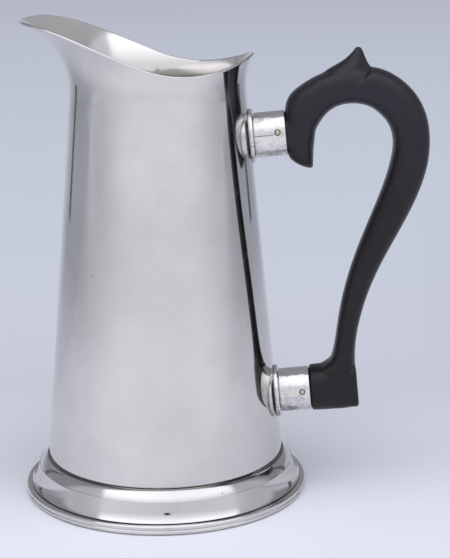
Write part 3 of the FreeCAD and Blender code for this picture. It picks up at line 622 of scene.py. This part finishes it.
def bead(socket):
    spigot = sleeveBore - bodySizes["solderGap"]
    start, edge = socketSizes["beadStart"], socketSizes["beadRadius"] - socketSizes["beadCrown"]
    end = beadEnd - socketSizes["beadGap"]
    crown = ((end - start) ** 2 / 4 + socketSizes["beadCrown"] ** 2) / (2 * socketSizes["beadCrown"])
    profile = outline([
        (0, beadEnd + socketSizes["spigot"]), (spigot, beadEnd + socketSizes["spigot"]), (spigot, end),
        (edge, end, crown, right), (edge, start), (spigot, start), (0, start)], steps=10)
    points, faces = turned(softened(profile, socketSizes["edge"]), steps=socketSizes["beadSteps"])
    points[:, 2] = np.maximum(points[:, 2], beadFace(socket, points[:, 0], points[:, 1]))
    points = placed(points, socketPlace(socket))
    return meshPiece(f"{socket}Bead", points, faces, f"{socket}_bead", "pewter", pewterCast)


def pinFrame(socket):  # local Z runs across the socket, through the pin
    across = Matrix.Rotation(math.pi / 2, 4, "X")
    rise = socketSizes[socket]["pinRise"]
    return socketPlace(socket) @ Matrix.Translation((rise, 0, pinPlace)) @ across


def cutter(points, faces):  # a closed shape to cut with
    return addObject("cutter", closedMesh("cutter", points, faces))


def pinHole(socket):  # a little wider than the pin, so a dark ring shows round it
    radius, reach = socketSizes["pinRadius"] + socketSizes["pinRing"], 2 * socketSizes["sleeveRadius"]
    profile = [(0, -reach), (radius, -reach), (radius, reach), (0, reach)]
    return cutter(*turned(profile, pinFrame(socket), socketSizes["drillSteps"]))


def seamSlit(socket):  # the soldered seam, a thin slit on the front as far as the pin
    outside, rise, half = [socketSizes[key] for key in ("sleeveRadius", "seamRise", "seamHalf")]
    ends = beadEnd + socketSizes["seamStart"], pinPlace - socketSizes["pinRadius"] - socketSizes["seamStop"]
    depths = outside - socketSizes["seamDepth"], outside + socketSizes["overrun"]
    corners = [(rise + way * half, depth, end) for end in ends for depth in depths for way in (-1, 1)]
    faces = [(0, 1, 3, 2), (4, 5, 7, 6), (0, 1, 5, 4), (2, 3, 7, 6), (0, 2, 6, 4), (1, 3, 7, 5)]
    return cutter(placed(np.array(corners), socketPlace(socket)), faces)


def sleeve(socket):
    outside = socketSizes["sleeveRadius"]
    tube = [(sleeveBore, beadEnd), (sleeveBore, sleeveEnd), (outside, sleeveEnd), (outside, beadEnd)]
    profile = softened(tube, socketSizes["edge"])
    points, faces = turned(profile, socketPlace(socket), socketSizes["sleeveSteps"])
    piece = meshPiece(f"{socket}Sleeve", points, faces, f"{socket}_sleeve", "pewter", pewterCast)
    cutters = [pinHole(socket)]
    if socket == "upper":
        cutters.append(seamSlit(socket))
    for tool in cutters:
        cut = piece.modifiers.new("cut", "BOOLEAN")
        cut.object = tool
        cut.solver = "EXACT"
    applyModifiers(piece)
    for tool in cutters:
        bpy.data.objects.remove(tool)
    piece.data.set_sharp_from_angle(angle=math.radians(socketSizes["sharpAngle"]))
    return piece


def pin(socket):
    radius, dome = socketSizes["pinRadius"], socketSizes["pinDome"]
    half = socketSizes["sleeveRadius"] + dome
    bend = (radius ** 2 + dome ** 2) / (2 * dome)
    profile = outline([
        (0, -half, bend, left), (radius, dome - half), (radius, half - dome, bend, left), (0, half)],
        steps=8)
    points, faces = turned(profile, pinFrame(socket), socketSizes["pinSteps"])
    return meshPiece(f"{socket}Pin", points, faces, f"{socket}_pin", "brass", brass)


# Handle: the blank from the frame, its joins worked smooth and its two faces crowned, then a ridge
# and a crease carved into the spur on both faces.
handleSizes = {
    "cut": 0.5,  # mm, the voxels of the blank
    "rubbing": 0.5, "smoothing": 8, "crowning": 140,  # share of each round, and rounds
    "ridgeTop": (88.2, 200.5), "ridgeFoot": (84.4, 186.0),  # along X and up
    "creaseTop": (93.2, 192.9), "creaseFoot": (85.6, 184.6),
    "creaseDepth": 3.2, "creaseBank": 2.0, "leastFlank": 0.5, "creaseGrowth": 1.3, "leastLeft": 0.4,
}


def lineAt(foot, top, height):  # where the line between two points stands at a height
    return foot[0] + (height - foot[1]) * (top[0] - foot[0]) / (top[1] - foot[1])


def handle():
    piece = addObject("handleWood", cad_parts["handle"].data.copy())
    blank = piece.modifiers.new("blank", "REMESH")
    blank.mode = "VOXEL"
    blank.voxel_size = handleSizes["cut"] / metre
    worked = piece.modifiers.new("worked", "SMOOTH")
    worked.factor, worked.iterations = handleSizes["rubbing"], handleSizes["smoothing"]
    crowned = piece.modifiers.new("crowned", "SMOOTH")  # rounds the two faces and leaves the outline alone
    crowned.factor, crowned.iterations = handleSizes["rubbing"], handleSizes["crowning"]
    crowned.use_x, crowned.use_z = False, False
    applyModifiers(piece)
    mesh = piece.data
    points = np.empty(len(mesh.vertices) * 3)
    mesh.vertices.foreach_get("co", points)
    x, y, z = points.reshape(-1, 3).T * metre
    creaseFoot, creaseTop = handleSizes["creaseFoot"], handleSizes["creaseTop"]
    ridge = lineAt(handleSizes["ridgeFoot"], handleSizes["ridgeTop"], z)
    crease = lineAt(creaseFoot, creaseTop, z)
    width = np.maximum(crease - ridge, handleSizes["leastFlank"])
    rise = np.clip((z - creaseFoot[1]) / (creaseTop[1] - creaseFoot[1]), 0, 1)
    flank = np.clip((x - ridge) / width, 0, 1)
    bank = np.clip(1 - (x - crease) / handleSizes["creaseBank"], 0, 1)
    depth = handleSizes["creaseDepth"] * rise ** handleSizes["creaseGrowth"] * np.minimum(flank, bank)
    y = np.sign(y) * np.maximum(np.abs(y) - depth, np.abs(y) * handleSizes["leastLeft"])
    mesh.vertices.foreach_set("co", (np.stack([x, y, z], -1) / metre).ravel())
    mesh.shade_smooth()
    mesh.materials.clear()
    mesh.materials.append(blackWood)
    return standFor(piece, "handle")


footWire()
footRing()
bodyShell()
bodyFloor()
print("foot and body made")
for socket in ("upper", "lower"):
    for make in (saddle, bead, sleeve, pin):
        make(socket)
print("sockets made")
handle()
print("handle made")


# Studio: a pale sheet that runs back from the jug, a broad soft light above the front and a plain
# room beyond. The light is part of the room, so the whole sheet is lit alike, and its own tones, painted
# light and shade that grow darker further back and to the sides, set the picture's.
lightTurn = 7  # degrees that the light stands round from the front


def softMask(tree, edges):  # product of smooth steps, each a value with where it starts and is full
    mask = 1.0
    for value, start, end in edges:
        edge = addNode(tree, "ShaderNodeMapRange", {"interpolation_type": "SMOOTHSTEP"}, {
            "Value": value, "From Min": start, "From Max": end})
        mask = addNode(tree, "ShaderNodeMath", {"operation": "MULTIPLY"}, {
            0: edge.outputs[0], 1: mask}).outputs[0]
    return mask


sheetLook = {
    "reach": 9000,  # mm
    "tones": (  # how far back in mm, and colour
        (-1100, "#edeef6"), (-450, "#f4f5fd"), (-200, "#f3f4fc"), (-80, "#e8eaf5"), (-30, "#e5e7f3"),
        (15, "#dfe1ed"), (75, "#dee1eb"), (150, "#d3d6e2"), (600, "#cbd1dd"), (1500, "#c3c9d4"),
        (3400, "#babdca")),
    "sideTone": "#dbdadb", "sideFade": (130, 800),  # painted fall-off of light to both sides of the sheet, between these mm
    "pastFront": (-0.9, -0.1), "pastBack": (0.96, 0.72),  # cosines from straight back: start and full
}


def paperSheet():
    reach = sheetLook["reach"] / metre
    mesh = bpy.data.meshes.new("sheet")
    corners = [(-reach, -reach, 0), (reach, -reach, 0), (reach, reach, 0), (-reach, reach, 0)]
    mesh.from_pydata(corners, [], [(0, 1, 2, 3)])
    sheet = addObject("sheet", mesh)
    material, tree, shader = newMaterial("paperMatt")  # uncoated paper: no gloss at all
    place = addNode(tree, "ShaderNodeTexCoord").outputs["Object"]
    back = addNode(tree, "ShaderNodeSeparateXYZ", inputs={0: place}).outputs["Y"]
    tones = sheetLook["tones"]
    nearest, furthest = tones[0][0], tones[-1][0]
    share = addNode(tree, "ShaderNodeMapRange", inputs={
        "Value": back, "From Min": nearest / metre, "From Max": furthest / metre})
    ramp = addNode(tree, "ShaderNodeValToRGB", inputs={0: share.outputs[0]})
    stops = ramp.color_ramp.elements
    for at, tone in tones[1:-1]:
        stops.new((at - nearest) / (furthest - nearest)).color = linear(tone)
    stops[0].color, stops[-1].color = linear(tones[0][1]), linear(tones[-1][1])
    away = addNode(tree, "ShaderNodeVectorMath", {"operation": "LENGTH"}, {0: place}).outputs["Value"]
    facing = addNode(tree, "ShaderNodeMapping", inputs={
        "Vector": place, "Rotation": (0, 0, -math.radians(lightTurn))})
    facingBack = addNode(tree, "ShaderNodeSeparateXYZ", inputs={0: facing.outputs[0]}).outputs["Y"]
    backShare = addNode(tree, "ShaderNodeMath", {"operation": "DIVIDE"}, {
        0: facingBack, 1: away}).outputs[0]
    fadeStart, fadeEnd = sheetLook["sideFade"]
    fade = softMask(tree, (
        (backShare, *sheetLook["pastFront"]), (backShare, *sheetLook["pastBack"]),
        (away, fadeStart / metre, fadeEnd / metre)))
    toned = addNode(tree, "ShaderNodeMix", {"data_type": "RGBA", "blend_type": "MULTIPLY"}, {
        0: fade, 6: ramp.outputs[0], 7: linear(sheetLook["sideTone"])})
    tree.links.new(toned.outputs[2], shader.inputs["Base Color"])
    shader.inputs["Roughness"].default_value = 1.0
    shader.inputs["Specular IOR Level"].default_value = 0.0
    mesh.materials.append(material)


mirrored = {"poles": ((-818, 590), (749, 674)), "poleWidth": 100, "poleHeight": 700, "lensRadius": 34}  # mm


def mirroredOnly(thing, materialName, colour, roughness):  # seen in the metal, and not by the camera
    material, _, shader = newMaterial(materialName)
    shader.inputs["Base Color"].default_value = linear(colour)
    shader.inputs["Roughness"].default_value = roughness
    thing.data.materials.append(material)
    thing.visible_camera = False
    thing.visible_diffuse = False
    thing.visible_shadow = False


def darkPoles():  # two cloth-covered stands behind the jug, which the metal shows as thin dark lines
    half, high = mirrored["poleWidth"] / 2, mirrored["poleHeight"]
    corners, faces = [], []
    for x, y in mirrored["poles"]:
        turn = math.atan2(y, x)
        dx, dy = -math.sin(turn) * half, math.cos(turn) * half
        faces.append(tuple(range(len(corners), len(corners) + 4)))
        corners += [(x - dx, y - dy, 0), (x + dx, y + dy, 0)]
        corners += [(x + dx, y + dy, high), (x - dx, y - dy, high)]
    mesh = bpy.data.meshes.new("poles")
    mesh.from_pydata((np.array(corners) / metre).tolist(), [], faces)
    mirroredOnly(addObject("poles", mesh), "clothGreyWoven", "#727278", 1.0)


def lensFront():  # the dark front of the lens
    bpy.ops.mesh.primitive_circle_add(radius=mirrored["lensRadius"] / metre, fill_type="NGON", vertices=48)
    disc = bpy.context.object
    disc.name = "lensFront"
    disc.matrix_world = bpy.context.scene.camera.matrix_world
    mirroredOnly(disc, "glassCoatedDark", "#1c1c20", 0.8)


roomLook = {
    "plain": "#c4c6cf",
    "tones": (  # what measures the direction, where the tone starts and is full, and the tone
        ("up", 0.08, 0.3, "#92939a"), ("wide", 0.3, 0.65, "#c6c7d2"), ("spoutRear", 0, 0.55, "#9d9ea9"),
        ("back", 0.75, 0.96, "#c0c3cf"), ("upRear", 0.08, 0.3, "#92939a"), ("back", -0.1, -0.9, "#eaecf6")),
    "rearRise": 1.5, "fanSpread": 1.66, "behindSlope": -0.12,
    "lightEdges": (("fan", 1.02, 0.85), ("behind", 0.06, -0.06), ("up", 0.05, 0.1)),
    "lights": (  # colour, heights it grows between and strengths: on the sheet, then in the metal
        ("#ffffff", (0.15, 0.65), (0.86, 1.75)), ("#f5f7ff", (0.35, 0.8), (0.85, 1.5))),
}


def room():
    world = bpy.data.worlds.new("room")
    bpy.context.scene.world = world
    world.use_nodes = True
    tree = world.node_tree
    way = addNode(tree, "ShaderNodeTexCoord").outputs["Generated"]
    way = addNode(tree, "ShaderNodeMapping", inputs={
        "Vector": way, "Rotation": (0, 0, -math.radians(lightTurn))}).outputs[0]
    ways = addNode(tree, "ShaderNodeSeparateXYZ", inputs={0: way})
    x, y, z = ways.outputs["X"], ways.outputs["Y"], ways.outputs["Z"]
    measures = {"up": z, "back": y}
    for name, operation, terms in (
            ("wide", "ABSOLUTE", (x,)), ("risen", "MULTIPLY", (z, roomLook["rearRise"])),
            ("spoutSide", "MULTIPLY", (x, -1.0)), ("upRear", "MINIMUM", (y, "risen")),
            ("spoutRear", "MINIMUM", (y, "spoutSide")),
            ("fan", "MULTIPLY_ADD", ("wide", roomLook["fanSpread"], y)),
            ("behind", "MULTIPLY_ADD", (z, roomLook["behindSlope"], y))):
        terms = [measures[term] if isinstance(term, str) else term for term in terms]
        worked = addNode(tree, "ShaderNodeMath", {"operation": operation}, dict(enumerate(terms)))
        measures[name] = worked.outputs[0]
    colour = linear(roomLook["plain"])
    for measure, start, end, tone in roomLook["tones"]:
        share = softMask(tree, ((measures[measure], start, end),))
        colour = addNode(tree, "ShaderNodeMix", {"data_type": "RGBA"}, {
            0: share, 6: colour, 7: linear(tone)}).outputs[2]
    plain = tree.nodes["Background"]
    tree.links.new(colour, plain.inputs["Color"])
    edges = [(measures[measure], start, end) for measure, start, end in roomLook["lightEdges"]]
    lit = softMask(tree, edges)
    lights = []
    for tone, (low, high), (weak, strong) in roomLook["lights"]:
        strength = addNode(tree, "ShaderNodeMapRange", inputs={
            "Value": z, "From Min": low, "From Max": high, "To Min": weak, "To Max": strong})
        lights.append(addNode(tree, "ShaderNodeBackground", inputs={
            "Color": linear(tone), "Strength": strength.outputs[0]}).outputs[0])
    inMetal = addNode(tree, "ShaderNodeLightPath").outputs["Is Glossy Ray"]
    light = addNode(tree, "ShaderNodeMixShader", inputs={0: inMetal, 1: lights[0], 2: lights[1]})
    both = addNode(tree, "ShaderNodeMixShader", inputs={0: lit, 1: plain.outputs[0], 2: light.outputs[0]})
    tree.links.new(both.outputs[0], tree.nodes["World Output"].inputs["Surface"])


# Camera: set from the photograph's perspective, in degrees and millimetres.
cameraSizes = {
    "azimuth": 5.0, "distance": 677.5, "height": 262.5, "pitch": 13.714, "yaw": 2.411, "roll": -0.659,
    "focal": 99.0, "near": 10, "far": 50000,
}


def camera():
    data = bpy.data.cameras.new("camera")
    data.lens = cameraSizes["focal"]
    data.clip_start, data.clip_end = cameraSizes["near"] / metre, cameraSizes["far"] / metre
    made = addObject("camera", data)
    angles = ("azimuth", "pitch", "yaw", "roll")
    azimuth, pitch, yaw, roll = [math.radians(cameraSizes[key]) for key in angles]
    distance, height = cameraSizes["distance"] / metre, cameraSizes["height"] / metre
    place = Matrix.Translation((distance * math.sin(azimuth), -distance * math.cos(azimuth), height))
    made.matrix_world = (place @ Matrix.Rotation(azimuth - yaw, 4, "Z")
                         @ Matrix.Rotation(math.pi / 2 - pitch, 4, "X") @ Matrix.Rotation(roll, 4, "Z"))
    bpy.context.scene.camera = made


paperSheet()
darkPoles()
room()
camera()
lensFront()
bpy.context.scene.view_settings.view_transform = "Standard"
print("studio and camera set")
